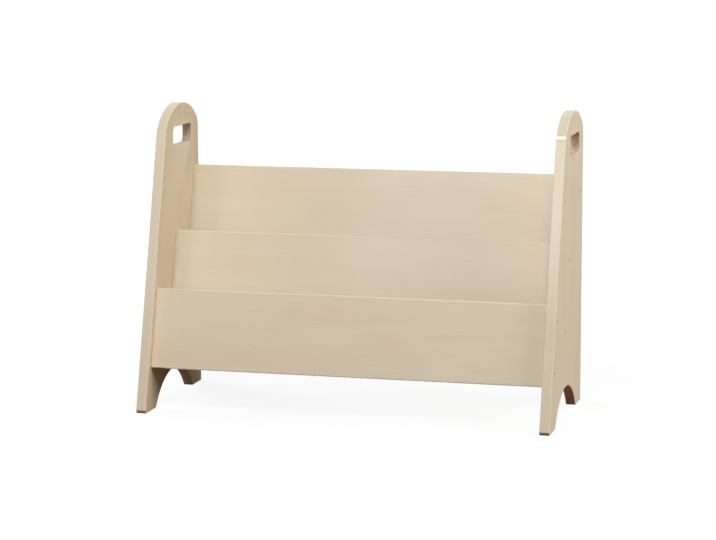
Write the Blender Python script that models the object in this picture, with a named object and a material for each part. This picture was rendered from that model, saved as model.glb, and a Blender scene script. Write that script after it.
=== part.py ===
"""Free-standing book display rack: two arched end panels carry three leaning panels and two shelves.

Units are metres. +X runs to the right, -Y is the front, +Z is up. The origin is on the floor, under the
middle of the rack. Leaning parts are children of one empty that leans with them: there, x runs along the
rack, y is the way back through the panels and z is the way up along them.
"""

import math

import bmesh
import bpy
from mathutils import Matrix, Vector

# Overall sizes
OVERALL_WIDTH = 0.760
LEAN_DEG = 15.2
FIT_GAP = 0.0003

# End panels
END_THICKNESS = 0.018
END_EDGE_RADIUS = 0.001
FRONT_FOOT_WIDTH = 0.0595
REAR_FOOT_WIDTH = 0.0515
TOE_RADIUS = 0.006
FOOT_CORNER_RADIUS = 0.003
ARCH_RISE = 0.0555
BACK_MARGIN = 0.011
CROWN_ABOVE_BACK_PANEL = 0.123
CROWN_RISE = 0.0384
SHOULDER_RADIUS = 0.035
HANDLE_LENGTH = 0.104
HANDLE_HEIGHT = 0.036
HANDLE_CORNER_RADIUS = 0.012
HANDLE_BELOW_CROWN = 0.060
HANDLE_BEHIND_MIDDLE = 0.0025

# Leaning panels
PANEL_THICKNESS = 0.015
PANEL_TOP_EDGE_RADIUS = 0.003
PANEL_BOTTOM_EDGE_RADIUS = 0.001
FRONT_INSET = 0.013
FRONT_PANEL_FLOOR_GAP = 0.080
FRONT_PANEL_HEIGHT = 0.146
MIDDLE_PANEL_HEIGHT = 0.180
BACK_PANEL_HEIGHT = 0.197

# Book pockets and their shelves
LOWER_POCKET_DEPTH = 0.069
UPPER_POCKET_DEPTH = 0.062
LOWER_LIP_HEIGHT = 0.062
UPPER_LIP_HEIGHT = 0.062
SHELF_THICKNESS = 0.015
SHELF_EDGE_RADIUS = 0.0015

# Screws through the end panels into the panels
PANEL_SCREW_LENGTH = 0.050
PANEL_SCREW_SHANK_DIAMETER = 0.0045
PANEL_SCREW_HEAD_DIAMETER = 0.0066
PANEL_SCREW_HEAD_THICKNESS = 0.003
PANEL_SCREW_RECESS = 0.0015
PANEL_SCREW_FROM_TOP = 0.030
PANEL_SCREW_FROM_BOTTOM = 0.023

# Screws up through the shelves into the panels that stand on them
SHELF_SCREW_COUNT = 4
SHELF_SCREW_LENGTH = 0.040
SHELF_SCREW_SHANK_DIAMETER = 0.004
SHELF_SCREW_HEAD_DIAMETER = 0.0075
SHELF_SCREW_HEAD_THICKNESS = 0.003
SHELF_SCREW_RECESS = 0.001
SHELF_SCREW_END_DISTANCE = 0.080

# Sockets in the screw heads
SOCKET_ACROSS_CORNERS = 0.0042
SOCKET_DEPTH = 0.0018

# Dowels in the shelf ends and along the shelves' front edges, with the wood left over their tips
END_DOWEL_DIAMETER = 0.008
END_DOWEL_LENGTH = 0.030
END_DOWEL_COVER = 0.008
END_DOWEL_EDGE_DISTANCE = 0.020
EDGE_DOWEL_COUNT = 4
EDGE_DOWEL_DIAMETER = 0.006
EDGE_DOWEL_LENGTH = 0.024
EDGE_DOWEL_COVER = 0.006
EDGE_DOWEL_END_DISTANCE = 0.130
DOWEL_CHAMFER = 0.001

# Fineness of the round shapes
FASTENER_SIDES = 12
SOCKET_SIDES = 6
ARCH_STEPS = 24
CROWN_STEPS = 18
CORNER_STEPS = 6
FOOT_CORNER_STEPS = 4
EDGE_SEGMENTS = 2
BEVEL_MIN_ANGLE_DEG = 35.0
SMOOTH_BELOW_DEG = 40.0
MERGE_DISTANCE = 1e-6

# Colour (red, green, blue), roughness, metallic
WOOD_FINISH = ((0.70, 0.59, 0.44), 0.35, 0.0)
DOWEL_FINISH = ((0.60, 0.43, 0.26), 0.65, 0.0)
SCREW_FINISH = ((0.11, 0.08, 0.06), 0.45, 1.0)

# The lean and what stands where along it
LEAN = math.radians(LEAN_DEG)
SIN_LEAN = math.sin(LEAN)
COS_LEAN = math.cos(LEAN)
TAN_LEAN = math.tan(LEAN)

FRONT_BOTTOM = 0.0
FRONT_TOP = FRONT_BOTTOM + FRONT_PANEL_HEIGHT
LOWER_SHELF_TOP = FRONT_TOP - LOWER_LIP_HEIGHT
MIDDLE_BOTTOM = LOWER_SHELF_TOP + FIT_GAP
MIDDLE_TOP = MIDDLE_BOTTOM + MIDDLE_PANEL_HEIGHT
UPPER_SHELF_TOP = MIDDLE_TOP - UPPER_LIP_HEIGHT
BACK_BOTTOM = UPPER_SHELF_TOP + FIT_GAP
BACK_TOP = BACK_BOTTOM + BACK_PANEL_HEIGHT

FRONT_FACE = 0.0
FRONT_REAR = FRONT_FACE + PANEL_THICKNESS
MIDDLE_FACE = FRONT_REAR + LOWER_POCKET_DEPTH
MIDDLE_REAR = MIDDLE_FACE + PANEL_THICKNESS
BACK_FACE = MIDDLE_REAR + UPPER_POCKET_DEPTH
BACK_REAR = BACK_FACE + PANEL_THICKNESS

# The end panels are as deep and as tall as what they carry, with the margins above
TOE_TO_FRONT_PANEL = FRONT_PANEL_FLOOR_GAP * TAN_LEAN + FRONT_INSET / COS_LEAN
END_DEPTH = TOE_TO_FRONT_PANEL + BACK_REAR * COS_LEAN + BACK_TOP * SIN_LEAN + BACK_MARGIN
BACK_PANEL_TOP_HEIGHT = FRONT_PANEL_FLOOR_GAP + BACK_TOP * COS_LEAN - BACK_FACE * SIN_LEAN
END_HEIGHT = BACK_PANEL_TOP_HEIGHT + CROWN_ABOVE_BACK_PANEL
TOE_TRIM = TOE_RADIUS / math.tan((math.pi / 2 - LEAN) / 2) - TOE_RADIUS
BACK_Y = (END_DEPTH - TOE_TRIM) / 2
FRONT_Y = BACK_Y - END_DEPTH
LEAN_ORIGIN = (0.0, FRONT_Y + TOE_TO_FRONT_PANEL, FRONT_PANEL_FLOOR_GAP)

END_CENTRE_X = (OVERALL_WIDTH - END_THICKNESS) / 2
END_INNER_X = OVERALL_WIDTH / 2 - END_THICKNESS
BOARD_LENGTH = 2 * (END_INNER_X - FIT_GAP)

SIDES = {"left": -1, "right": 1}


def clear_scene():
    """Remove every object the file opened with."""
    for old in list(bpy.data.objects):
        bpy.data.objects.remove(old, do_unlink=True)


def finish_material(name, finish):
    """One plain surface: colour, roughness and metallic value."""
    colour, roughness, metallic = finish
    material = bpy.data.materials.new(name + "_finish")
    material.use_nodes = True
    shader = material.node_tree.nodes["Principled BSDF"]
    shader.inputs["Base Color"].default_value = (*colour, 1.0)
    shader.inputs["Roughness"].default_value = roughness
    shader.inputs["Metallic"].default_value = metallic
    material.diffuse_color = (*colour, 1.0)
    return material


def add_object(name, bm, parent=None, location=(0.0, 0.0, 0.0)):
    """Turn a bmesh into a linked object."""
    mesh = bpy.data.meshes.new(name)
    bm.to_mesh(mesh)
    bm.free()
    mesh.shade_smooth()
    mesh.set_sharp_from_angle(angle=math.radians(SMOOTH_BELOW_DEG))
    obj = bpy.data.objects.new(name, mesh)
    bpy.context.scene.collection.objects.link(obj)
    obj.parent = parent
    obj.location = location
    return obj


def add_piece(name, bm, finish, parent=None, location=(0.0, 0.0, 0.0)):
    """A finished sub-part with its own material."""
    obj = add_object(name, bm, parent, location)
    obj.data.materials.append(finish_material(name, finish))
    return obj


def add_cutter(name, bm, parent=None, location=(0.0, 0.0, 0.0)):
    """A shape that only cuts holes in others."""
    obj = add_object(name, bm, parent, location)
    obj.hide_render = True
    obj.display_type = "WIRE"
    return obj


def cut(obj, cutter):
    """Take a cutter's shape out of a piece."""
    modifier = obj.modifiers.new("cut_" + cutter.name, "BOOLEAN")
    modifier.operation = "DIFFERENCE"
    modifier.solver = "EXACT"
    modifier.object = cutter


def round_edges(obj, radius):
    """Ease every sharp edge that the piece has so far."""
    modifier = obj.modifiers.new("eased_edges", "BEVEL")
    modifier.width = radius
    modifier.segments = EDGE_SEGMENTS
    modifier.limit_method = "ANGLE"
    modifier.angle_limit = math.radians(BEVEL_MIN_ANGLE_DEG)


def add_lean_frame():
    """The empty that every leaning part hangs on, at the front panel's lower front edge."""
    frame = bpy.data.objects.new("lean_frame", None)
    bpy.context.scene.collection.objects.link(frame)
    frame.location = LEAN_ORIGIN
    frame.rotation_euler = (-LEAN, 0.0, 0.0)
    return frame


def arc(centre, radius, start, end, steps):
    """Points on a circle in the YZ plane, from one angle to another, both ends included."""
    points = []
    for step in range(steps + 1):
        angle = start + (end - start) * step / steps
        points.append((centre[0] + radius * math.cos(angle), centre[1] + radius * math.sin(angle)))
    return points


def angle_from(centre, point):
    """Direction of a point as seen from a centre."""
    return math.atan2(point[1] - centre[1], point[0] - centre[0])


def circle_over(half_span, rise):
    """Radius of the circle through both ends of a span and the point that rises over its middle."""
    return (half_span ** 2 + rise ** 2) / (2 * rise)


def shoulder_centre(crown, crown_radius, toe, upward, inward):
    """Centre of the small arc that blends a straight edge into the crown."""
    base = Vector(toe) + SHOULDER_RADIUS * Vector(inward)
    to_crown = Vector(crown) - base
    along = to_crown.dot(Vector(upward))
    aside = to_crown.dot(Vector(inward))
    reach = math.sqrt((crown_radius - SHOULDER_RADIUS) ** 2 - aside ** 2)
    return tuple(base + (along + reach) * Vector(upward))


def arch_arc():
    """The arch between the feet, from the front foot to the back foot."""
    front_y = FRONT_Y + FRONT_FOOT_WIDTH
    back_y = BACK_Y - REAR_FOOT_WIDTH
    radius = circle_over((back_y - front_y) / 2, ARCH_RISE)
    centre = ((front_y + back_y) / 2, ARCH_RISE - radius)
    front = angle_from(centre, (front_y, 0.0))
    back = angle_from(centre, (back_y, 0.0))
    return arc(centre, radius, front, back, ARCH_STEPS)


def crown_arcs():
    """The round top: back shoulder, crown and front shoulder. Both shoulders are at one height."""
    shoulder_z = END_HEIGHT - CROWN_RISE
    half_width = (END_DEPTH - shoulder_z * TAN_LEAN) / 2
    radius = circle_over(half_width, CROWN_RISE)
    crown = (BACK_Y - half_width, END_HEIGHT - radius)
    back = shoulder_centre(crown, radius, (BACK_Y, 0.0), (0.0, 1.0), (-1.0, 0.0))
    front = shoulder_centre(crown, radius, (FRONT_Y, 0.0), (SIN_LEAN, COS_LEAN), (COS_LEAN, -SIN_LEAN))
    to_back = angle_from(crown, back)
    to_front = angle_from(crown, front)
    points = arc(back, SHOULDER_RADIUS, 0.0, to_back, CORNER_STEPS)
    points += arc(crown, radius, to_back, to_front, CROWN_STEPS)[1:-1]
    points += arc(front, SHOULDER_RADIUS, to_front, math.pi - LEAN, CORNER_STEPS)
    return points


def foot_corner(before, corner, after, radius):
    """The small arc that takes the point off a foot's corner."""
    backward = (Vector(before) - Vector(corner)).normalized()
    onward = (Vector(after) - Vector(corner)).normalized()
    half_angle = backward.angle(onward) / 2
    centre = Vector(corner) + (backward + onward).normalized() * radius / math.sin(half_angle)
    reach = radius / math.tan(half_angle)
    start = angle_from(centre, Vector(corner) + backward * reach)
    turn = angle_from(centre, Vector(corner) + onward * reach) - start
    if turn > math.pi:
        turn -= 2 * math.pi
    if turn < -math.pi:
        turn += 2 * math.pi
    return arc(centre, radius, start, start + turn, FOOT_CORNER_STEPS)


def end_outline():
    """An end panel's outline as (y, z) points: along the floor, up the back, over, and down the front."""
    toe = (FRONT_Y, 0.0)
    heel = (BACK_Y, 0.0)
    arch = arch_arc()
    crown = crown_arcs()
    outline = foot_corner(crown[-1], toe, arch[0], TOE_RADIUS)
    outline += foot_corner(toe, arch[0], arch[1], FOOT_CORNER_RADIUS)
    outline += arch[1:-1]
    outline += foot_corner(arch[-2], arch[-1], heel, FOOT_CORNER_RADIUS)
    outline += foot_corner(arch[-1], heel, crown[0], FOOT_CORNER_RADIUS)
    return outline + crown


def handle_outline():
    """The hand hole: a level slot with round corners, a little behind the middle of the end panel."""
    centre_z = END_HEIGHT - HANDLE_BELOW_CROWN
    centre_y = (BACK_Y + FRONT_Y + centre_z * TAN_LEAN) / 2 + HANDLE_BEHIND_MIDDLE
    half_run = HANDLE_LENGTH / 2 - HANDLE_CORNER_RADIUS
    half_rise = HANDLE_HEIGHT / 2 - HANDLE_CORNER_RADIUS
    outline = []
    for turn, (side_y, side_z) in enumerate(((1, 1), (-1, 1), (-1, -1), (1, -1))):
        corner = (centre_y + side_y * half_run, centre_z + side_z * half_rise)
        start = turn * math.pi / 2
        outline += arc(corner, HANDLE_CORNER_RADIUS, start, start + math.pi / 2, CORNER_STEPS)
    return outline


def plate(outline, thickness):
    """A flat board of the given (y, z) outline, centred on x = 0."""
    bm = bmesh.new()
    verts = [bm.verts.new((-thickness / 2, y, z)) for y, z in outline]
    face = bm.faces.new(verts)
    grown = bmesh.ops.extrude_face_region(bm, geom=[face])["geom"]
    moved = [item for item in grown if isinstance(item, bmesh.types.BMVert)]
    bmesh.ops.translate(bm, verts=moved, vec=(thickness, 0.0, 0.0))
    bmesh.ops.recalc_face_normals(bm, faces=bm.faces)
    return bm


def board(face, rear, bottom, top, top_radius, bottom_radius):
    """A long board between the end panels, with its four long edges rounded."""
    bm = bmesh.new()
    bmesh.ops.create_cube(bm, size=1.0)
    bmesh.ops.scale(bm, verts=bm.verts, vec=(BOARD_LENGTH, rear - face, top - bottom))
    bmesh.ops.translate(bm, verts=bm.verts, vec=(0.0, (face + rear) / 2, (bottom + top) / 2))
    along = [edge for edge in bm.edges if abs(edge.verts[0].co.x - edge.verts[1].co.x) > BOARD_LENGTH / 2]
    upper = [edge for edge in along if edge.verts[0].co.z > (bottom + top) / 2]
    lower = [edge for edge in along if edge.verts[0].co.z < (bottom + top) / 2]
    for edges, radius in ((upper, top_radius), (lower, bottom_radius)):
        bmesh.ops.bevel(bm, geom=edges, offset=radius, offset_type="OFFSET", segments=EDGE_SEGMENTS,
                        profile=0.5, affect="EDGES", material=-1)
    bmesh.ops.recalc_face_normals(bm, faces=bm.faces)
    return bm


def turned(profile):
    """A turned shape about its own z axis. The profile is (radius, z) points from pole to pole."""
    bm = bmesh.new()
    verts = [bm.verts.new((radius, 0.0, z)) for radius, z in profile]
    edges = [bm.edges.new(pair) for pair in zip(verts, verts[1:])]
    bmesh.ops.spin(bm, geom=verts + edges, cent=(0, 0, 0), axis=(0, 0, 1), angle=2 * math.pi,
                   steps=FASTENER_SIDES, use_merge=True)
    bmesh.ops.remove_doubles(bm, verts=bm.verts, dist=MERGE_DISTANCE)
    bmesh.ops.recalc_face_normals(bm, faces=bm.faces)
    return bm


def screw_shape(length, shank_diameter, head_diameter, head_thickness):
    """A cylinder-head screw pointing down, the top of its head at z = 0, with a hexagon socket."""
    shank = shank_diameter / 2
    head = head_diameter / 2
    socket = SOCKET_ACROSS_CORNERS / 2
    profile = [(0.0, -SOCKET_DEPTH), (socket, -SOCKET_DEPTH), (socket, 0.0), (head, 0.0),
               (head, -head_thickness), (shank, -head_thickness), (shank, shank - length), (0.0, -length)]
    bm = turned(profile)
    sector = 2 * math.pi / SOCKET_SIDES
    for vert in bm.verts:
        inside = vert.co.xy.length < socket + MERGE_DISTANCE and vert.co.z > -SOCKET_DEPTH - MERGE_DISTANCE
        if inside:
            turn = math.atan2(vert.co.y, vert.co.x) % sector - sector / 2
            squeeze = math.cos(sector / 2) / math.cos(turn)
            vert.co.x *= squeeze
            vert.co.y *= squeeze
    return bm


def screw_bore(length, shank_diameter, head_diameter, head_thickness, recess):
    """The hole for a screw: a counterbore that runs out past the face, and a bore past the tip."""
    shank = shank_diameter / 2 + FIT_GAP
    head = head_diameter / 2 + FIT_GAP
    mouth = recess + head_thickness
    seat = -head_thickness - FIT_GAP
    profile = [(0.0, mouth), (head, mouth), (head, seat), (shank, seat),
               (shank, -length - FIT_GAP), (0.0, -length - FIT_GAP)]
    return turned(profile)


def dowel_shape(diameter, length, in_first):
    """A chamfered pin along z. It reaches in_first above the joint at z = 0 and the rest below."""
    radius = diameter / 2
    top = in_first
    bottom = in_first - length
    profile = [(0.0, top), (radius - DOWEL_CHAMFER, top), (radius, top - DOWEL_CHAMFER),
               (radius, bottom + DOWEL_CHAMFER), (radius - DOWEL_CHAMFER, bottom), (0.0, bottom)]
    return turned(profile)


def dowel_bore(diameter, length, in_first):
    """The blind holes that a dowel sits in, on both sides of its joint."""
    radius = diameter / 2 + FIT_GAP
    top = in_first + FIT_GAP
    bottom = in_first - length - FIT_GAP
    return turned([(0.0, top), (radius, top), (radius, bottom), (0.0, bottom)])


def place_copies(name, shape, finish, places, parent):
    """Fasteners of one kind: one shared mesh, and one object for each named place."""
    mesh = bpy.data.meshes.new(name)
    shape.to_mesh(mesh)
    shape.free()
    mesh.shade_smooth()
    mesh.set_sharp_from_angle(angle=math.radians(SMOOTH_BELOW_DEG))
    mesh.materials.append(finish_material(name, finish))
    for full_name, place in places.items():
        obj = bpy.data.objects.new(full_name, mesh)
        bpy.context.scene.collection.objects.link(obj)
        obj.parent = parent
        obj.matrix_local = place


def bore_cutter(name, shape, places, parent):
    """One cutter with a copy of a bore at each place."""
    single = bpy.data.meshes.new(name)
    shape.to_mesh(single)
    shape.free()
    bm = bmesh.new()
    for place in places.values():
        one = single.copy()
        one.transform(place)
        bm.from_mesh(one)
        bpy.data.meshes.remove(one)
    bpy.data.meshes.remove(single)
    return add_cutter(name, bm, parent)


def evenly(count, end_distance):
    """Places along the boards, the first and last at one distance from the board's ends."""
    reach = BOARD_LENGTH / 2 - end_distance
    return [reach * (2 * index / (count - 1) - 1) for index in range(count)]


def panel_screw_places(panels):
    """Screws through the ends into each panel, pointing inwards from the outer faces."""
    places = {}
    for name, (face, bottom, top) in panels.items():
        across = face + PANEL_THICKNESS / 2
        heights = {"lower": bottom + PANEL_SCREW_FROM_BOTTOM, "upper": top - PANEL_SCREW_FROM_TOP}
        for side, sign in SIDES.items():
            head_x = sign * (OVERALL_WIDTH / 2 - PANEL_SCREW_RECESS)
            outward = Matrix.Rotation(sign * math.pi / 2, 4, "Y")
            for level, height in heights.items():
                place = Matrix.Translation((head_x, across, height)) @ outward
                places[f"{name}_screw_{side}_{level}"] = place
    return places


def shelf_screw_places(shelves):
    """Screws up through each shelf into the panel that stands on it."""
    downward = Matrix.Rotation(math.pi, 4, "X")
    places = {}
    for name, (panel_rear, next_face, top) in shelves.items():
        across = next_face + PANEL_THICKNESS / 2
        head_height = top - SHELF_THICKNESS + SHELF_SCREW_RECESS
        for index, x in enumerate(evenly(SHELF_SCREW_COUNT, SHELF_SCREW_END_DISTANCE), 1):
            places[f"{name}_screw_{index}"] = Matrix.Translation((x, across, head_height)) @ downward
    return places


def end_dowel_places(shelves):
    """Dowels in both ends of each shelf, measured from the end panels' inner faces."""
    places = {}
    for name, (panel_rear, next_face, top) in shelves.items():
        height = top - SHELF_THICKNESS / 2
        depths = {"front": panel_rear + FIT_GAP + END_DOWEL_EDGE_DISTANCE,
                  "rear": next_face + PANEL_THICKNESS - END_DOWEL_EDGE_DISTANCE}
        for side, sign in SIDES.items():
            outward = Matrix.Rotation(sign * math.pi / 2, 4, "Y")
            for level, across in depths.items():
                place = Matrix.Translation((sign * END_INNER_X, across, height)) @ outward
                places[f"{name}_end_dowel_{side}_{level}"] = place
    return places


def edge_dowel_places(shelves):
    """Dowels from each shelf's front edge into the panel in front of it."""
    forward = Matrix.Rotation(math.pi / 2, 4, "X")
    places = {}
    for name, (panel_rear, next_face, top) in shelves.items():
        height = top - SHELF_THICKNESS / 2
        for index, x in enumerate(evenly(EDGE_DOWEL_COUNT, EDGE_DOWEL_END_DISTANCE), 1):
            places[f"{name}_edge_dowel_{index}"] = Matrix.Translation((x, panel_rear, height)) @ forward
    return places


def add_boards(panels, shelves, lean):
    """The three leaning panels and the two shelves."""
    pieces = {}
    for name, (face, bottom, top) in panels.items():
        shape = board(face, face + PANEL_THICKNESS, bottom, top, PANEL_TOP_EDGE_RADIUS,
                      PANEL_BOTTOM_EDGE_RADIUS)
        pieces[name] = add_piece(name, shape, WOOD_FINISH, lean)
    for name, (panel_rear, next_face, top) in shelves.items():
        shape = board(panel_rear + FIT_GAP, next_face + PANEL_THICKNESS, top - SHELF_THICKNESS, top,
                      SHELF_EDGE_RADIUS, SHELF_EDGE_RADIUS)
        pieces[name] = add_piece(name, shape, WOOD_FINISH, lean)
    return pieces


def add_ends():
    """The two end panels with their hand holes and eased edges."""
    pieces = {}
    for side, sign in SIDES.items():
        name = side + "_end_panel"
        place = (sign * END_CENTRE_X, 0.0, 0.0)
        pieces[name] = add_piece(name, plate(end_outline(), END_THICKNESS), WOOD_FINISH, None, place)
        opening = add_cutter(side + "_handle_cutter", plate(handle_outline(), 2 * END_THICKNESS), None, place)
        cut(pieces[name], opening)
        round_edges(pieces[name], END_EDGE_RADIUS)
    return pieces


def fasten(name, shape, bore, finish, places, targets, lean):
    """Put one kind of fastener in its places and cut its holes in the boards that it joins."""
    place_copies(name, shape, finish, places, lean)
    bores = bore_cutter(name + "_bores", bore, places, lean)
    for target in targets:
        cut(target, bores)


def build():
    """Model the whole rack."""
    clear_scene()
    lean = add_lean_frame()
    panels = {
        "front_panel": (FRONT_FACE, FRONT_BOTTOM, FRONT_TOP),
        "middle_panel": (MIDDLE_FACE, MIDDLE_BOTTOM, MIDDLE_TOP),
        "back_panel": (BACK_FACE, BACK_BOTTOM, BACK_TOP),
    }
    shelves = {
        "lower_shelf": (FRONT_REAR, MIDDLE_FACE, LOWER_SHELF_TOP),
        "upper_shelf": (MIDDLE_REAR, BACK_FACE, UPPER_SHELF_TOP),
    }
    ends = add_ends()
    boards = add_boards(panels, shelves, lean)
    end_pieces = list(ends.values())
    panel_pieces = [boards[name] for name in panels]
    shelf_pieces = [boards[name] for name in shelves]
    standing_pieces = [boards["middle_panel"], boards["back_panel"]]
    lip_pieces = [boards["front_panel"], boards["middle_panel"]]

    screw = (PANEL_SCREW_LENGTH, PANEL_SCREW_SHANK_DIAMETER, PANEL_SCREW_HEAD_DIAMETER,
             PANEL_SCREW_HEAD_THICKNESS)
    fasten("panel_screw", screw_shape(*screw), screw_bore(*screw, PANEL_SCREW_RECESS), SCREW_FINISH,
           panel_screw_places(panels), end_pieces + panel_pieces, lean)

    screw = (SHELF_SCREW_LENGTH, SHELF_SCREW_SHANK_DIAMETER, SHELF_SCREW_HEAD_DIAMETER,
             SHELF_SCREW_HEAD_THICKNESS)
    fasten("shelf_screw", screw_shape(*screw), screw_bore(*screw, SHELF_SCREW_RECESS), SCREW_FINISH,
           shelf_screw_places(shelves), standing_pieces + shelf_pieces, lean)

    dowel = (END_DOWEL_DIAMETER, END_DOWEL_LENGTH, END_THICKNESS - END_DOWEL_COVER)
    fasten("end_dowel", dowel_shape(*dowel), dowel_bore(*dowel), DOWEL_FINISH,
           end_dowel_places(shelves), end_pieces + shelf_pieces, lean)

    dowel = (EDGE_DOWEL_DIAMETER, EDGE_DOWEL_LENGTH, PANEL_THICKNESS - EDGE_DOWEL_COVER)
    fasten("edge_dowel", dowel_shape(*dowel), dowel_bore(*dowel), DOWEL_FINISH,
           edge_dowel_places(shelves), lip_pieces + shelf_pieces, lean)


build()
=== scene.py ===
"""Looks of a free-standing book display rack: pale lacquered birch, dark recessed screws, studio light.

Everything is in metres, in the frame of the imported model: +X to the right, -Y to the front, +Z up. Boards
that lean are shaped upright, along the lean's own axes, and are then tipped back into their place.
"""

import math
from collections import namedtuple

import bmesh
import bpy
from mathutils import Matrix, Vector


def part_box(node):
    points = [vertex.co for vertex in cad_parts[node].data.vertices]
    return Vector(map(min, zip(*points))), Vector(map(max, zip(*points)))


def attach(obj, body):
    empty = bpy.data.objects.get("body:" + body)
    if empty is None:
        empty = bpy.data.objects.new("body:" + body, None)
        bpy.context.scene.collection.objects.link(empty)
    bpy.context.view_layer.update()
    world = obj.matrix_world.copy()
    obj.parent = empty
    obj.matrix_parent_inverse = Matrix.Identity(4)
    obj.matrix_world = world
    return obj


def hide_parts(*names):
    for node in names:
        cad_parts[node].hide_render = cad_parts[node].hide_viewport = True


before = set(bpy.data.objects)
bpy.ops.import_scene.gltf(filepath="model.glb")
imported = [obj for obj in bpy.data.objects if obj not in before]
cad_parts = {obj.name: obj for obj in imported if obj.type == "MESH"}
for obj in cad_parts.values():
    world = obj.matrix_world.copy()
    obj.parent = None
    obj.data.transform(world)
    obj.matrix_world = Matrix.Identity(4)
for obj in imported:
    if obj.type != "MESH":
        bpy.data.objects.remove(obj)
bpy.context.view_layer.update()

# The boards and fasteners, and the lean of the panels
ENDS = ("left_end_panel", "right_end_panel")
PANELS = ("front_panel", "middle_panel", "back_panel")
SHELVES = ("lower_shelf", "upper_shelf")
SCREWS = sorted(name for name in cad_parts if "_screw_" in name)
DOWELS = sorted(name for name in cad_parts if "_dowel_" in name)
LEAN = math.radians(15.2)
TO_LEAN = Matrix.Rotation(LEAN, 3, "X")
FROM_LEAN = TO_LEAN.inverted()
ALONG_X, ALONG_Y, ALONG_Z = range(3)

# Outline of the end panels
END_LOW, END_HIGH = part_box(ENDS[0])
END_THICKNESS = END_HIGH.x - END_LOW.x
END_HEIGHT = END_HIGH.z
FRONT_FOOT_WIDTH = 0.0595
REAR_FOOT_WIDTH = 0.0515
TOE_RADIUS = 0.006
FOOT_CORNER_RADIUS = 0.003
ARCH_RISE = 0.0555
TOE_TRIM = TOE_RADIUS / math.tan((math.pi / 2 - LEAN) / 2) - TOE_RADIUS
BACK_Y = END_HIGH.y
FRONT_Y = -BACK_Y - TOE_TRIM
CROWN_RISE = 0.0384
SHOULDER_RADIUS = 0.035
HANDLE_LENGTH = 0.104
HANDLE_HEIGHT = 0.036
HANDLE_CORNER_RADIUS = 0.012
HANDLE_BELOW_CROWN = 0.060
HANDLE_BEHIND_MIDDLE = 0.0025

# Eased edges, and how finely the round shapes are made
END_EDGE_RADIUS = 0.001
PANEL_TOP_EDGE_RADIUS = 0.003
PANEL_BOTTOM_EDGE_RADIUS = 0.001
SHELF_EDGE_RADIUS = 0.0015
EDGE_SEGMENTS = 6
ARCH_STEPS = 80
ARCH_TRIM = 1 / 24
FOOT_CORNER_STEPS = 8
CROWN_STEPS = 48
SHOULDER_STEPS = 18
HANDLE_CORNER_STEPS = 12
BOARD_LENGTH_CUTS = 7
FULL_LENGTH_SHARE = 0.99
EASED_FROM = math.radians(35)
SHARP_FROM = math.radians(40)
MERGE_DISTANCE = 1e-6
CUTTER_OVERSHOOT = 0.001

# Screws and the holes for screws and dowels
SCREW_SIDES = 40
SOCKET_SIDES = 6
BORE_SIDES = 32
FIT_GAP = 0.0003
SHANK_SHARE_OF_HEAD = 0.62
SCREW_HEAD_THICKNESS = 0.003
SCREW_RIM_CHAMFER = 0.0004
SCREW_TIP_LENGTH = 0.004
SOCKET_ACROSS_CORNERS = 0.0042
SOCKET_DEPTH = 0.0018
BORE_MOUTH_CHAMFER = 0.0004
BORE_MOUTH_RECESS = {"panel": 0.0015, "shelf": 0.001}

# Lacquers: roughness from smooth to rough, specular level and coat weight, and the wood's pale and deep tone
Lacquer = namedtuple("Lacquer", "smooth rough specular coat pale deep")
SATIN = Lacquer(0.36, 0.46, 0.25, 0.25, (0.678, 0.592, 0.453), (0.654, 0.568, 0.427))
# The edge lacquer's stronger coat is real gloss; its tone, a little darker and less red than the faces', is
# painted shade offsetting the light the edges catch.
SATIN_EDGE = Lacquer(0.36, 0.46, 0.25, 0.40, (0.662, 0.583, 0.447), (0.638, 0.559, 0.421))
MATT = Lacquer(0.52, 0.64, 0.05, 0.0, (0.678, 0.592, 0.453), (0.654, 0.568, 0.427))
# The dull lacquer's warmer, less blue tone is painted shade: the warm light bounced between wood faces in
# shadow.
DULL_SHADED = Lacquer(0.60, 0.75, 0.0, 0.0, (0.692, 0.571, 0.412), (0.667, 0.548, 0.389))
COAT_ROUGHNESS = 0.12

# Finish numbers of an end panel's faces, and the parts of a normal that tell its sides and undersides
SATIN_FACE, MATT_FACE, DULL_FACE, SOLE_OR_TOE_SHADE_FACE = range(4)
SIDEWAYS = 0.98
DOWNWARD = -0.05

# Noise patterns: the share of the scale that holds along the grain, then scale, detail and roughness
Pattern = namedtuple("Pattern", "share scale detail roughness")
FIBRES = Pattern(0.02, 620.0, 4.0, 0.62)
SWIRLS = Pattern(0.14, 7.0, 2.0, 0.45)
FLECKS = Pattern(0.09, 520.0, 2.0, 0.5)
CLOUDS = Pattern(0.6, 5.0, 2.0, 0.5)
SOLE_PORES = Pattern(0.5, 900.0, 4.0, 0.6)
SOLE_STAINS = Pattern(0.5, 60.0, 3.0, 0.55)
STEEL_MOTTLE = Pattern(1.0, 1400.0, 4.0, 0.6)
STEEL_SPECKS = Pattern(1.0, 3200.0, 2.0, 0.5)
DOWEL_PORES = Pattern(0.08, 1500.0, 4.0, 0.65)
NOISE_SPREAD = (0.3, 0.7)
RINGS_PER_SWIRL = 11.0
GRAIN_STEP = (1.7, 0.9, 2.3)
NO_OFFSET = (0.0, 0.0, 0.0)

# Tones over a base colour: the pattern's values between which a tone grows, its largest share, and its colour
Tone = namedtuple("Tone", "low high share colour")
RING_TONE = Tone(0.0, 1.0, 0.16, (0.56, 0.43, 0.28))
FIBRE_TONE = Tone(0.35, 0.70, 0.14, (0.52, 0.40, 0.26))
FLECK_TONE = Tone(0.64, 0.74, 0.16, (0.42, 0.30, 0.18))
RUBBED_TONE = Tone(0.2, 0.6, 0.50, (0.78, 0.69, 0.56))
SOLE_PORE_TONE = Tone(0.5, 0.7, 0.5, (0.20, 0.15, 0.10))
BARE_STEEL_TONE = Tone(0.66, 0.74, 0.5, (0.42, 0.38, 0.33))
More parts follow.
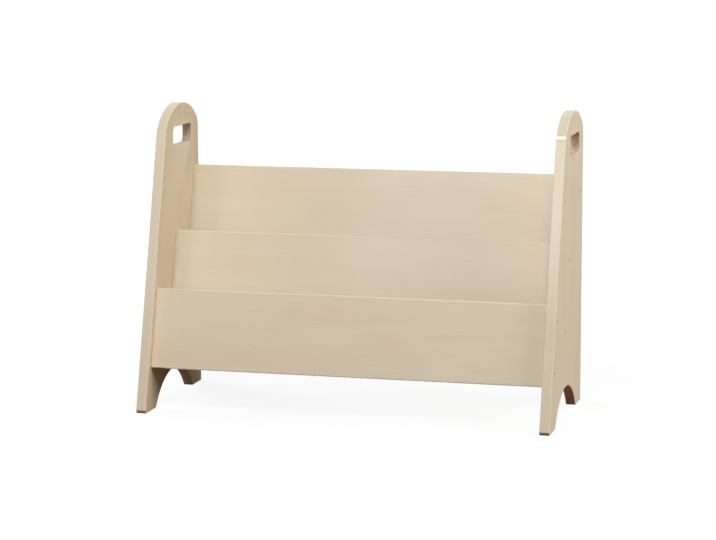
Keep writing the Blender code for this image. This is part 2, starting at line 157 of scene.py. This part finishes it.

# Base colours in pairs, roughness from smooth to rough, and the strength and depth of the fine relief
# The sole colours also paint shade on the toe's downward rounding.
SOLE_AND_TOE_SHADE_COLOURS = ((0.42, 0.33, 0.24), (0.31, 0.24, 0.165))
STEEL_COLOURS = ((0.075, 0.055, 0.042), (0.15, 0.11, 0.08))
DOWEL_COLOURS = ((0.64, 0.47, 0.29), (0.50, 0.34, 0.19))
SOLE_ROUGHNESS = (0.6, 0.8)
STEEL_ROUGHNESS = (0.32, 0.52)
DOWEL_ROUGHNESS = (0.6, 0.75)
BOARD_RELIEF = (0.10, 0.0003)
SOLE_RELIEF = (0.3, 0.0003)
STEEL_RELIEF = (0.15, 0.0001)
DOWEL_RELIEF = (0.2, 0.0002)

# Camera at the photograph's view
CAMERA_PLACE = (1.11326, -4.21753, 0.94663)
CAMERA_YAW = math.radians(14.849)
CAMERA_TILT = math.radians(9.027)
CAMERA_ROLL = math.radians(-0.157)
CAMERA_LENS_MM = 121.90
CAMERA_SENSOR_MM = 36.0

# Lamps: place, width by height, and power
LAMPS = {
    "key_softbox": ((1.0, -3.4, 3.6), (1.2, 1.2), 66.0),
    "strip_softbox": ((-0.40, -2.75, 3.92), (0.4, 1.3), 66.0),
    "front_fill": ((-0.5, -4.6, 2.5), (1.8, 1.0), 45.0),
    "left_fill": ((-2.0, -4.0, 2.2), (1.2, 1.2), 13.0),
    "side_fill": ((4.2, -0.3, 1.9), (2.2, 2.2), 150.0),
    "back_fill": ((-3.5, 1.8, 1.5), (1.5, 1.5), 170.0),
}
LIGHT_TARGET = (0.0, 0.0, 0.3)
SKY_LIGHT = 0.04
SKY_COLOUR = (1.0, 1.0, 1.0, 1.0)

# Floor: its own grey and its white glow to the camera, the warm tone of the light it throws back, and the
# distances over which the shadow fades into plain white
FLOOR_SIZE = 30.0
FLOOR_DROP = 0.0002
FLOOR_COLOUR = (0.10, 0.10, 0.10)
FLOOR_GLOW = 0.90
FLOOR_BOUNCE = (0.18, 0.105, 0.062)
SHADOW_FADE = (0.9, 1.8)


def lean_box(node):
    """Lowest and highest corner of a node, measured along the lean's own axes."""
    points = [TO_LEAN @ vertex.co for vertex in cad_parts[node].data.vertices]
    low = Vector(map(min, zip(*points)))
    high = Vector(map(max, zip(*points)))
    return low, high


def ease(bm, edges, radius):
    """Round edges over, and mark the rounding, where the finish wears first."""
    worn = bm.verts.layers.float.get("worn_edge") or bm.verts.layers.float.new("worn_edge")
    made = bmesh.ops.bevel(bm, geom=edges, offset=radius, offset_type="OFFSET", segments=EDGE_SEGMENTS,
                           profile=0.5, affect="EDGES", material=-1)
    rounding = set(made["faces"])
    for vert in {vert for face in rounding for vert in face.verts}:
        if all(face in rounding for face in vert.link_faces):
            vert[worn] = 1.0


def leaning_board(node, top_radius, bottom_radius):
    """A long board with rounded edges, tipped back into its node's place."""
    low, high = lean_box(node)
    bm = bmesh.new()
    bmesh.ops.create_cube(bm, size=1.0)
    bmesh.ops.scale(bm, verts=bm.verts, vec=high - low)
    bmesh.ops.translate(bm, verts=bm.verts, vec=(low + high) / 2)
    lengthwise = [edge for edge in bm.edges if edge.calc_length() > (high.x - low.x) * FULL_LENGTH_SHARE]
    bmesh.ops.subdivide_edges(bm, edges=lengthwise, cuts=BOARD_LENGTH_CUTS, use_grid_fill=True)
    middle = (low.z + high.z) / 2
    corners = [edge for edge in bm.edges if edge.calc_face_angle() > EASED_FROM and runs_along_x(edge)]
    upper = [edge for edge in corners if edge.verts[0].co.z > middle]
    lower = [edge for edge in corners if edge.verts[0].co.z < middle]
    ease(bm, upper, top_radius)
    ease(bm, lower, bottom_radius)
    bmesh.ops.rotate(bm, verts=bm.verts, cent=(0, 0, 0), matrix=FROM_LEAN)
    return bm


def runs_along_x(edge):
    """True for an edge along the length of the rack."""
    step = edge.verts[1].co - edge.verts[0].co
    return abs(step.x) > step.yz.length


def swept_arc(bm, centre, radius, start, end, steps):
    """An arc in the plane x = 0, made by turning a vertex about the centre. Gives its two end vertices."""
    first = bm.verts.new((0.0, centre[0] + radius * math.cos(start), centre[1] + radius * math.sin(start)))
    made = bmesh.ops.spin(bm, geom=[first], cent=(0.0, *centre), axis=(1, 0, 0), angle=end - start,
                          steps=steps)
    last = next(item for item in made["geom_last"] if isinstance(item, bmesh.types.BMVert))
    return first, last


def angle_from(centre, point):
    """Direction of a point as seen from a centre."""
    return math.atan2(point[1] - centre[1], point[0] - centre[0])


def circle_over(half_span, rise):
    """Radius of the circle through both ends of a span and the point that rises over its middle."""
    return (half_span ** 2 + rise ** 2) / (2 * rise)


def shoulder_centre(crown, crown_radius, toe, upward, inward):
    """Centre of the small arc that blends a straight edge into the crown."""
    base = Vector(toe) + SHOULDER_RADIUS * Vector(inward)
    to_crown = Vector(crown) - base
    along = to_crown.dot(Vector(upward))
    aside = to_crown.dot(Vector(inward))
    reach = math.sqrt((crown_radius - SHOULDER_RADIUS) ** 2 - aside ** 2)
    return tuple(base + (along + reach) * Vector(upward))


def foot_corner(bm, before, corner, after, radius):
    """The small arc that takes the point off a foot's corner."""
    backward = (Vector(before) - Vector(corner)).normalized()
    onward = (Vector(after) - Vector(corner)).normalized()
    half_angle = backward.angle(onward) / 2
    centre = Vector(corner) + (backward + onward).normalized() * radius / math.sin(half_angle)
    reach = radius / math.tan(half_angle)
    start = angle_from(centre, Vector(corner) + backward * reach)
    turn = angle_from(centre, Vector(corner) + onward * reach) - start
    turn = math.remainder(turn, 2 * math.pi)
    return swept_arc(bm, tuple(centre), radius, start, start + turn, FOOT_CORNER_STEPS)


def feet(bm):
    """The underside of an end panel: toe, front foot, arch, rear foot and heel."""
    toe = (FRONT_Y, 0.0)
    heel = (BACK_Y, 0.0)
    arch_front = (FRONT_Y + FRONT_FOOT_WIDTH, 0.0)
    arch_back = (BACK_Y - REAR_FOOT_WIDTH, 0.0)
    radius = circle_over((arch_back[0] - arch_front[0]) / 2, ARCH_RISE)
    centre = ((arch_front[0] + arch_back[0]) / 2, ARCH_RISE - radius)
    start = angle_from(centre, arch_front)
    end = angle_from(centre, arch_back)
    trim = (end - start) * ARCH_TRIM
    sprung, landed = [(centre[0] + radius * math.cos(angle), centre[1] + radius * math.sin(angle))
                      for angle in (start + trim, end - trim)]
    up_front = (FRONT_Y + math.sin(LEAN), math.cos(LEAN))
    up_back = (BACK_Y, 1.0)
    return [foot_corner(bm, up_front, toe, arch_front, TOE_RADIUS),
            foot_corner(bm, toe, arch_front, sprung, FOOT_CORNER_RADIUS),
            swept_arc(bm, centre, radius, start + trim, end - trim, ARCH_STEPS),
            foot_corner(bm, landed, arch_back, heel, FOOT_CORNER_RADIUS),
            foot_corner(bm, arch_back, heel, up_back, FOOT_CORNER_RADIUS)]


def round_top(bm):
    """The back shoulder, the crown and the front shoulder of an end panel."""
    half_width = (BACK_Y - FRONT_Y - (END_HEIGHT - CROWN_RISE) * math.tan(LEAN)) / 2
    radius = circle_over(half_width, CROWN_RISE)
    crown = (BACK_Y - half_width, END_HEIGHT - radius)
    up_front = (math.sin(LEAN), math.cos(LEAN))
    into_front = (math.cos(LEAN), -math.sin(LEAN))
    back = shoulder_centre(crown, radius, (BACK_Y, 0.0), (0.0, 1.0), (-1.0, 0.0))
    front = shoulder_centre(crown, radius, (FRONT_Y, 0.0), up_front, into_front)
    to_back = angle_from(crown, back)
    to_front = angle_from(crown, front)
    return [swept_arc(bm, back, SHOULDER_RADIUS, 0.0, to_back, SHOULDER_STEPS),
            swept_arc(bm, crown, radius, to_back, to_front, CROWN_STEPS),
            swept_arc(bm, front, SHOULDER_RADIUS, to_front, math.pi - LEAN, SHOULDER_STEPS)]


def end_plate(node):
    """An end panel without its holes: outline, thickness and eased edges."""
    bm = bmesh.new()
    stretches = [*feet(bm), *round_top(bm)]
    for here, there in zip(stretches, stretches[1:] + stretches[:1]):
        bm.edges.new((here[1], there[0]))
    bmesh.ops.remove_doubles(bm, verts=bm.verts, dist=MERGE_DISTANCE)
    face = bmesh.ops.edgeloop_fill(bm, edges=bm.edges)["faces"][0]
    grown = bmesh.ops.extrude_face_region(bm, geom=[face])["geom"]
    moved = [item for item in grown if isinstance(item, bmesh.types.BMVert)]
    bmesh.ops.translate(bm, verts=moved, vec=(END_THICKNESS, 0.0, 0.0))
    bmesh.ops.translate(bm, verts=bm.verts, vec=(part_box(node)[0].x, 0.0, 0.0))
    bmesh.ops.recalc_face_normals(bm, faces=bm.faces)
    ease(bm, [edge for edge in bm.edges if edge.calc_face_angle() > EASED_FROM], END_EDGE_RADIUS)
    return bm


def hand_hole_centre():
    """Middle of a hand hole, as y and z."""
    centre_z = END_HEIGHT - HANDLE_BELOW_CROWN
    centre_y = (BACK_Y + FRONT_Y + centre_z * math.tan(LEAN)) / 2 + HANDLE_BEHIND_MIDDLE
    return centre_y, centre_z


def slot_section(bm, x, grow):
    """One section of a hand hole: a rectangle with round corners in the plane x, grown all round."""
    centre_y, centre_z = hand_hole_centre()
    run = HANDLE_LENGTH / 2 + grow
    rise = HANDLE_HEIGHT / 2 + grow
    corners = [bm.verts.new((x, centre_y + side_y * run, centre_z + side_z * rise))
               for side_y, side_z in ((-1, -1), (1, -1), (1, 1), (-1, 1))]
    bm.faces.new(corners)
    made = bmesh.ops.bevel(bm, geom=corners, offset=HANDLE_CORNER_RADIUS + grow, offset_type="OFFSET",
                           segments=HANDLE_CORNER_STEPS, profile=0.5, affect="VERTICES", material=-1)
    return made["verts"][0].link_faces[0]


def hand_hole(node):
    """What a hand hole takes out of an end panel: a slot that flares into a rounding at both faces."""
    half = END_THICKNESS / 2
    flare = [(half + CUTTER_OVERSHOOT, END_EDGE_RADIUS)]
    for step in range(EDGE_SEGMENTS + 1):
        turn = math.pi / 2 * step / EDGE_SEGMENTS
        flare.append((half - END_EDGE_RADIUS * (1 - math.cos(turn)), END_EDGE_RADIUS * (1 - math.sin(turn))))
    places = flare + [(-x, grow) for x, grow in reversed(flare)]
    bm = bmesh.new()
    sections = [slot_section(bm, x, grow) for x, grow in places]
    for here, there in zip(sections, sections[1:]):
        bmesh.ops.bridge_loops(bm, edges=[*here.edges, *there.edges])
    bmesh.ops.delete(bm, geom=sections[1:-1], context="FACES_ONLY")
    low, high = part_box(node)
    bmesh.ops.translate(bm, verts=bm.verts, vec=((low.x + high.x) / 2, 0.0, 0.0))
    bmesh.ops.recalc_face_normals(bm, faces=bm.faces)
    return bm


def turned(profile, sides):
    """A shape turned about the z axis from (radius, z) points."""
    bm = bmesh.new()
    verts = [bm.verts.new((radius, 0.0, z)) for radius, z in profile]
    edges = [bm.edges.new(pair) for pair in zip(verts, verts[1:])]
    bmesh.ops.spin(bm, geom=verts + edges, cent=(0, 0, 0), axis=(0, 0, 1), angle=2 * math.pi, steps=sides,
                   use_merge=True)
    bmesh.ops.remove_doubles(bm, verts=bm.verts, dist=MERGE_DISTANCE)
    bmesh.ops.recalc_face_normals(bm, faces=bm.faces)
    return bm


def screw_place(node):
    """The place of a screw that is shaped pointing down, with the top of its head at the origin."""
    low, high = lean_box(node)
    middle = (low + high) / 2
    if "_panel_screw_" in node:
        side = 1 if "_right_" in node else -1
        head = (high.x if side > 0 else low.x, middle.y, middle.z)
        turn = Matrix.Rotation(side * math.pi / 2, 4, "Y")
    else:
        head = (middle.x, middle.y, low.z)
        turn = Matrix.Rotation(math.pi, 4, "X")
    return FROM_LEAN.to_4x4() @ Matrix.Translation(head) @ turn


def screw_sizes(node):
    """Length, head radius and shank radius of a screw, from its node."""
    low, high = lean_box(node)
    extents = sorted(high - low)
    head = extents[0] / 2
    return extents[2], head, head * SHANK_SHARE_OF_HEAD


def screw(node):
    """A cylinder-head screw with a chamfered rim and a hexagon socket."""
    length, head, shank = screw_sizes(node)
    rim = head - SCREW_RIM_CHAMFER
    bm = turned([(rim, 0.0), (head, -SCREW_RIM_CHAMFER), (head, -SCREW_HEAD_THICKNESS),
                 (shank, -SCREW_HEAD_THICKNESS), (shank, SCREW_TIP_LENGTH - length), (0.0, -length)],
                SCREW_SIDES)
    rim_edges = [edge for edge in bm.edges if edge.is_boundary]
    made = bmesh.ops.create_circle(bm, cap_ends=False, segments=SOCKET_SIDES,
                                   radius=SOCKET_ACROSS_CORNERS / 2)
    mouth = list({edge for vert in made["verts"] for edge in vert.link_edges})
    bmesh.ops.bridge_loops(bm, edges=rim_edges + mouth)
    grown = bmesh.ops.extrude_edge_only(bm, edges=mouth)["geom"]
    floor_verts = [item for item in grown if isinstance(item, bmesh.types.BMVert)]
    floor_edges = [item for item in grown if isinstance(item, bmesh.types.BMEdge)]
    bmesh.ops.translate(bm, verts=floor_verts, vec=(0.0, 0.0, -SOCKET_DEPTH))
    bmesh.ops.edgeloop_fill(bm, edges=floor_edges)
    bmesh.ops.recalc_face_normals(bm, faces=bm.faces)
    bmesh.ops.transform(bm, matrix=screw_place(node), verts=bm.verts)
    return bm


def screw_bore(node):
    """The hole for a screw: a counterbore with a broken edge at its mouth, and a bore past the tip."""
    length, head, shank = screw_sizes(node)
    recess = BORE_MOUTH_RECESS["panel" if "_panel_screw_" in node else "shelf"]
    wide = head + FIT_GAP
    seat = -SCREW_HEAD_THICKNESS - FIT_GAP
    bottom = -length - FIT_GAP
    bm = turned([(0.0, recess + CUTTER_OVERSHOOT), (wide + BORE_MOUTH_CHAMFER, recess + CUTTER_OVERSHOOT),
                 (wide + BORE_MOUTH_CHAMFER, recess), (wide, recess - BORE_MOUTH_CHAMFER), (wide, seat),
                 (shank + FIT_GAP, seat), (shank + FIT_GAP, bottom), (0.0, bottom)], BORE_SIDES)
    bmesh.ops.transform(bm, matrix=screw_place(node), verts=bm.verts)
    return bm


def dowel_bore(node):
    """The blind holes on both sides of a dowel's joint."""
    low, high = lean_box(node)
    extents = list(high - low)
    along = extents.index(max(extents))
    turn = Matrix.Rotation(math.pi / 2, 4, "Y" if along == 0 else "X")
    place = FROM_LEAN.to_4x4() @ Matrix.Translation((low + high) / 2) @ turn
    radius = min(extents) / 2 + FIT_GAP
    bm = bmesh.new()
    bmesh.ops.create_cone(bm, cap_ends=True, segments=BORE_SIDES, radius1=radius, radius2=radius,
                          depth=extents[along] + 2 * FIT_GAP, matrix=place)
    return bm


def mesh_from(name, *shapes):
    """One mesh of several shapes."""
    mesh = bpy.data.meshes.new(name)
    joined = bmesh.new()
    for shape in shapes:
        shape.to_mesh(mesh)
        shape.free()
        joined.from_mesh(mesh)
    joined.to_mesh(mesh)
    joined.free()
    return mesh


def cutter(name, *shapes):
    """A hidden object that only cuts holes."""
    obj = bpy.data.objects.new(name, mesh_from(name, *shapes))
    bpy.context.scene.collection.objects.link(obj)
    obj.hide_render = True
    return obj


def carved(name, shape, cutters):
    """The mesh of a board with the cutters' shapes taken out."""
    blank = bpy.data.objects.new(name + "_blank", mesh_from(name, shape))
    bpy.context.scene.collection.objects.link(blank)
    for tool in cutters:
        cut = blank.modifiers.new(tool.name, "BOOLEAN")
        cut.operation = "DIFFERENCE"
        cut.solver = "EXACT"
        cut.object = tool
    evaluated = blank.evaluated_get(bpy.context.evaluated_depsgraph_get())
    mesh = bpy.data.meshes.new_from_object(evaluated)
    bpy.data.objects.remove(blank, do_unlink=True)
    return mesh


def show(name, mesh, node, finishes):
    """Put a finished piece in the place of its node."""
    mesh.shade_smooth()
    mesh.set_sharp_from_angle(angle=SHARP_FROM)
    mesh.materials.clear()
    for finish in finishes:
        mesh.materials.append(finish)
    piece = bpy.data.objects.new(name, mesh)
    bpy.context.scene.collection.objects.link(piece)
    even = piece.modifiers.new("even_shading", "WEIGHTED_NORMAL")
    even.keep_sharp = True
    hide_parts(node)
    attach(piece, "root")


def add_node(tree, kind, links=None, **values):
    """A shader node with its settings, its socket values and what its sockets are linked from."""
    made = tree.nodes.new(kind)
    for key, value in values.items():
        if hasattr(made, key):
            setattr(made, key, value)
        else:
            made.inputs[key].default_value = value
    for key, source in (links or {}).items():
        tree.links.new(source, made.inputs[key])
    return made


def new_material(name):
    """An empty node material and its Principled shader."""
    material = bpy.data.materials.new(name)
    material.use_nodes = True
    tree = material.node_tree
    return material, tree, tree.nodes["Principled BSDF"]


def noise(tree, pattern, along, offset):
    """A noise on Object coordinates, drawn out into streaks along one axis."""
    scale = [1.0, 1.0, 1.0]
    scale[along] = pattern.share
    place = add_node(tree, "ShaderNodeTexCoord")
    space = add_node(tree, "ShaderNodeMapping", {"Vector": place.outputs["Object"]}, Location=offset,
                     Scale=scale)
    made = add_node(tree, "ShaderNodeTexNoise", {"Vector": space.outputs["Vector"]}, Scale=pattern.scale,
                    Detail=pattern.detail, Roughness=pattern.roughness)
    return made.outputs["Fac"]


def calculate(tree, operation, first, second):
    """An operation on two values. The second is a number or another node's value."""
    made = add_node(tree, "ShaderNodeMath", {0: first}, operation=operation)
    if isinstance(second, float):
        made.inputs[1].default_value = second
    else:
        tree.links.new(second, made.inputs[1])
    return made.outputs[0]


def ranged(tree, value, low, high, to_low, to_high):
    """A value's range carried over to another range."""
    made = add_node(tree, "ShaderNodeMapRange", {"Value": value})
    made.inputs["From Min"].default_value = low
    made.inputs["From Max"].default_value = high
    made.inputs["To Min"].default_value = to_low
    made.inputs["To Max"].default_value = to_high
    return made.outputs["Result"]


def mixed(tree, colour, other, factor):
    """A colour that turns into another one by a factor that varies over the surface."""
    made = add_node(tree, "ShaderNodeMix", data_type="RGBA")
    share, first, second = [socket for socket in made.inputs if socket.enabled]
    tree.links.new(factor, share)
    if isinstance(colour, tuple):
        first.default_value = (*colour, 1.0)
    else:
        tree.links.new(colour, first)
    second.default_value = (*other, 1.0)
    return next(socket for socket in made.outputs if socket.enabled)


def toned(tree, colour, pattern, tone):
    """A colour with a tone laid over it where a pattern is strong."""
    return mixed(tree, colour, tone.colour, ranged(tree, pattern, tone.low, tone.high, 0.0, tone.share))


def cover(tree, shader, colour, grain, roughness, relief):
    """Give a shader its colour, and the roughness and fine relief that follow its grain."""
    strength, depth = relief
    tree.links.new(colour, shader.inputs["Base Color"])
    tree.links.new(ranged(tree, grain, *NOISE_SPREAD, *roughness), shader.inputs["Roughness"])
    bump = add_node(tree, "ShaderNodeBump", {"Height": grain}, Strength=strength, Distance=depth)
    tree.links.new(bump.outputs["Normal"], shader.inputs["Normal"])


def lacquered_birch(name, along, offset, lacquer):
    """Pale birch board under clear lacquer, with rings, fibres, flecks and rubbed edges."""
    material, tree, shader = new_material(name)
    fibres, swirls, flecks, clouds = [noise(tree, pattern, along, offset)
                                      for pattern in (FIBRES, SWIRLS, FLECKS, CLOUDS)]
    rings = calculate(tree, "PINGPONG", calculate(tree, "MULTIPLY", swirls, RINGS_PER_SWIRL), 1.0)
    worn = add_node(tree, "ShaderNodeAttribute", attribute_name="worn_edge")
    rubbed = calculate(tree, "MULTIPLY", worn.outputs["Fac"], clouds)

    colour = mixed(tree, lacquer.pale, lacquer.deep, ranged(tree, clouds, *NOISE_SPREAD, 0.0, 1.0))
    colour = toned(tree, colour, rings, RING_TONE)
    colour = toned(tree, colour, fibres, FIBRE_TONE)
    colour = toned(tree, colour, flecks, FLECK_TONE)
    colour = toned(tree, colour, rubbed, RUBBED_TONE)
    cover(tree, shader, colour, fibres, (lacquer.smooth, lacquer.rough), BOARD_RELIEF)
    shader.inputs["Specular IOR Level"].default_value = lacquer.specular
    shader.inputs["Coat Weight"].default_value = lacquer.coat
    shader.inputs["Coat Roughness"].default_value = COAT_ROUGHNESS
    return material


def bare_birch_and_toe_shade(name, offset):
    """Bare end grain, darkened by use, on the soles of the feet. The same dark colour on the toe's downward
    rounding is painted shade.
    """
    material, tree, shader = new_material(name)
    pores, stains = [noise(tree, pattern, ALONG_Z, offset) for pattern in (SOLE_PORES, SOLE_STAINS)]
    colour = toned(tree, mixed(tree, *SOLE_AND_TOE_SHADE_COLOURS, stains), pores, SOLE_PORE_TONE)
    cover(tree, shader, colour, pores, SOLE_ROUGHNESS, SOLE_RELIEF)
    shader.inputs["Specular IOR Level"].default_value = DULL_SHADED.specular
    return material


def coated_steel(name, along, offset):
    """Dark coated screw steel, mottled, with bare metal showing in specks."""
    material, tree, shader = new_material(name)
    mottle, specks = [noise(tree, pattern, along, offset) for pattern in (STEEL_MOTTLE, STEEL_SPECKS)]
    colour = toned(tree, mixed(tree, *STEEL_COLOURS, mottle), specks, BARE_STEEL_TONE)
    cover(tree, shader, colour, mottle, STEEL_ROUGHNESS, STEEL_RELIEF)
    shader.inputs["Metallic"].default_value = 1.0
    return material


def bare_dowel_wood(name, along, offset):
    """Bare hardwood dowel with fine pores along its length."""
    material, tree, shader = new_material(name)
    pores = noise(tree, DOWEL_PORES, along, offset)
    cover(tree, shader, mixed(tree, *DOWEL_COLOURS, pores), pores, DOWEL_ROUGHNESS, DOWEL_RELIEF)
    return material


def end_finish(polygon):
    """Which finish a face of an end panel has: bare soles, whose dark colour on the toe's downward rounding
    is painted shade; dull inside, underneath and in the hand holes, with a warmer tone that is painted shade;
    matt outside and satin edges.
    """
    normal, place = polygon.normal, polygon.center
    hole_y, hole_z = hand_hole_centre()
    in_hand_hole = (abs(place.y - hole_y) < HANDLE_LENGTH / 2 + END_EDGE_RADIUS
                    and abs(place.z - hole_z) < HANDLE_HEIGHT / 2 + END_EDGE_RADIUS)
    # The toe's downward rounding takes the dark sole colour as painted shade.
    toe_in_shade = place.y < FRONT_Y + TOE_RADIUS and place.z < TOE_RADIUS
    if normal.z < -SIDEWAYS or (toe_in_shade and normal.z < DOWNWARD):
        return SOLE_OR_TOE_SHADE_FACE
    # Inner faces, undersides and hand-hole walls take the dull lacquer, whose warmer tone is painted shade.
    if in_hand_hole or normal.z < DOWNWARD or normal.x * math.copysign(1.0, place.x) < -SIDEWAYS:
        return DULL_FACE
    return MATT_FACE if abs(normal.x) > SIDEWAYS else SATIN_FACE


def end_finishes(node, offset):
    """The finishes of an end panel, in the order of their face numbers."""
    return [lacquered_birch(f"{node}_satin_birch", ALONG_Z, offset, SATIN_EDGE),
            lacquered_birch(f"{node}_matt_birch", ALONG_Z, offset, MATT),
            lacquered_birch(f"{node}_dull_shaded_birch", ALONG_Z, offset, DULL_SHADED),
            bare_birch_and_toe_shade(f"{node}_bare_birch_and_toe_shade", offset)]


def dress_ends(bores):
    """The end panels, with their hand holes and bores."""
    for index, node in enumerate(ENDS):
        hole = cutter(node + "_hand_hole", hand_hole(node))
        mesh = carved(node, end_plate(node), [bores, hole])
        bpy.data.objects.remove(hole, do_unlink=True)
        offset = tuple(index * step for step in GRAIN_STEP)
        show(node + "_board", mesh, node, end_finishes(node, offset))
        for polygon in mesh.polygons:
            polygon.material_index = end_finish(polygon)


def dress_leaning_boards(bores):
    """The panels and shelves, with their bores. Each has its own stretch of grain."""
    edge_radii = {node: (PANEL_TOP_EDGE_RADIUS, PANEL_BOTTOM_EDGE_RADIUS) for node in PANELS}
    edge_radii.update({node: (SHELF_EDGE_RADIUS, SHELF_EDGE_RADIUS) for node in SHELVES})
    for index, (node, radii) in enumerate(edge_radii.items(), len(ENDS)):
        mesh = carved(node, leaning_board(node, *radii), [bores])
        offset = tuple(index * step for step in GRAIN_STEP)
        finish = lacquered_birch(f"{node}_satin_birch", ALONG_X, offset, SATIN)
        show(node + "_board", mesh, node, [finish])


def dress_boards():
    """All boards, cut by the bores of their screws and dowels."""
    bores = cutter("bores", *[screw_bore(node) for node in SCREWS], *[dowel_bore(node) for node in DOWELS])
    dress_ends(bores)
    dress_leaning_boards(bores)
    bpy.data.objects.remove(bores, do_unlink=True)


def dress_fasteners():
    """Screws with real sockets, and bare wood on the hidden dowels."""
    steel = coated_steel("coated_screw_steel", ALONG_X, NO_OFFSET)
    for node in SCREWS:
        show(node + "_turned", mesh_from(node, screw(node)), node, [steel])
    end_grain = bare_dowel_wood("dowel_wood_end", ALONG_X, NO_OFFSET)
    edge_grain = bare_dowel_wood("dowel_wood_edge", ALONG_Y, NO_OFFSET)
    for node in DOWELS:
        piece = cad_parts[node]
        piece.data.materials.clear()
        piece.data.materials.append(end_grain if "_end_dowel_" in node else edge_grain)


def add_floor():
    """A plain pale floor, white to the camera but for the rack's soft shadow. It throws back a warm light."""
    material = bpy.data.materials.new("pale_floor")
    material.use_nodes = True
    tree = material.node_tree
    tree.nodes.remove(tree.nodes["Principled BSDF"])
    seen = seen_rays(tree)
    matt = add_node(tree, "ShaderNodeBsdfDiffuse", {"Color": mixed(tree, FLOOR_BOUNCE, FLOOR_COLOUR, seen)})
    place = add_node(tree, "ShaderNodeTexCoord")
    distance = add_node(tree, "ShaderNodeVectorMath", {0: place.outputs["Object"]}, operation="LENGTH")
    white = ranged(tree, distance.outputs["Value"], *SHADOW_FADE, FLOOR_GLOW, 1.0)
    glow = add_node(tree, "ShaderNodeEmission", {"Strength": calculate(tree, "MULTIPLY", seen, white)})
    both = add_node(tree, "ShaderNodeAddShader", {0: matt.outputs[0], 1: glow.outputs[0]})
    tree.links.new(both.outputs[0], tree.nodes["Material Output"].inputs["Surface"])
    bm = bmesh.new()
    bmesh.ops.create_grid(bm, x_segments=1, y_segments=1, size=FLOOR_SIZE)
    bmesh.ops.translate(bm, verts=bm.verts, vec=(0.0, 0.0, -FLOOR_DROP))
    floor = bpy.data.objects.new("floor", mesh_from("floor", bm))
    floor.data.materials.append(material)
    bpy.context.scene.collection.objects.link(floor)


def seen_rays(tree):
    """1 for rays from the camera, from a mirror or through glass, and 0 for light that falls on the rack."""
    path = add_node(tree, "ShaderNodeLightPath").outputs
    seen = calculate(tree, "MAXIMUM", path["Is Camera Ray"], path["Is Glossy Ray"])
    return calculate(tree, "MAXIMUM", seen, path["Is Transmission Ray"])


def add_sky():
    """White surroundings to look at, and a softer even light to be lit by."""
    world = bpy.data.worlds.new("studio")
    world.use_nodes = True
    bpy.context.scene.world = world
    tree = world.node_tree
    strength = ranged(tree, seen_rays(tree), 0.0, 1.0, SKY_LIGHT, 1.0)
    tree.links.new(strength, tree.nodes["Background"].inputs["Strength"])
    tree.nodes["Background"].inputs["Color"].default_value = SKY_COLOUR


def add_softbox(name, place, size, power):
    """A soft lamp, width by height, aimed at the rack."""
    data = bpy.data.lights.new(name, "AREA")
    data.shape = "RECTANGLE"
    data.size, data.size_y = size
    data.energy = power
    lamp = bpy.data.objects.new(name, data)
    bpy.context.scene.collection.objects.link(lamp)
    aim = (Vector(LIGHT_TARGET) - Vector(place)).to_track_quat("-Z", "Y")
    lamp.matrix_world = Matrix.Translation(place) @ aim.to_matrix().to_4x4()


def add_lamps():
    """The key, the strip that glints on the right shoulder, and the fills."""
    for name, lamp in LAMPS.items():
        add_softbox(name, *lamp)


def add_camera():
    """The photograph's viewpoint."""
    data = bpy.data.cameras.new("photo_view")
    data.lens = CAMERA_LENS_MM
    data.sensor_width = CAMERA_SENSOR_MM
    camera = bpy.data.objects.new("photo_view", data)
    bpy.context.scene.collection.objects.link(camera)
    aim = Matrix.Rotation(CAMERA_YAW, 4, "Z") @ Matrix.Rotation(math.pi / 2 - CAMERA_TILT, 4, "X")
    camera.matrix_world = Matrix.Translation(CAMERA_PLACE) @ aim @ Matrix.Rotation(CAMERA_ROLL, 4, "Z")
    bpy.context.scene.camera = camera


dress_boards()
dress_fasteners()
add_floor()
add_sky()
add_lamps()
add_camera()
bpy.context.scene.view_settings.view_transform = "Standard"
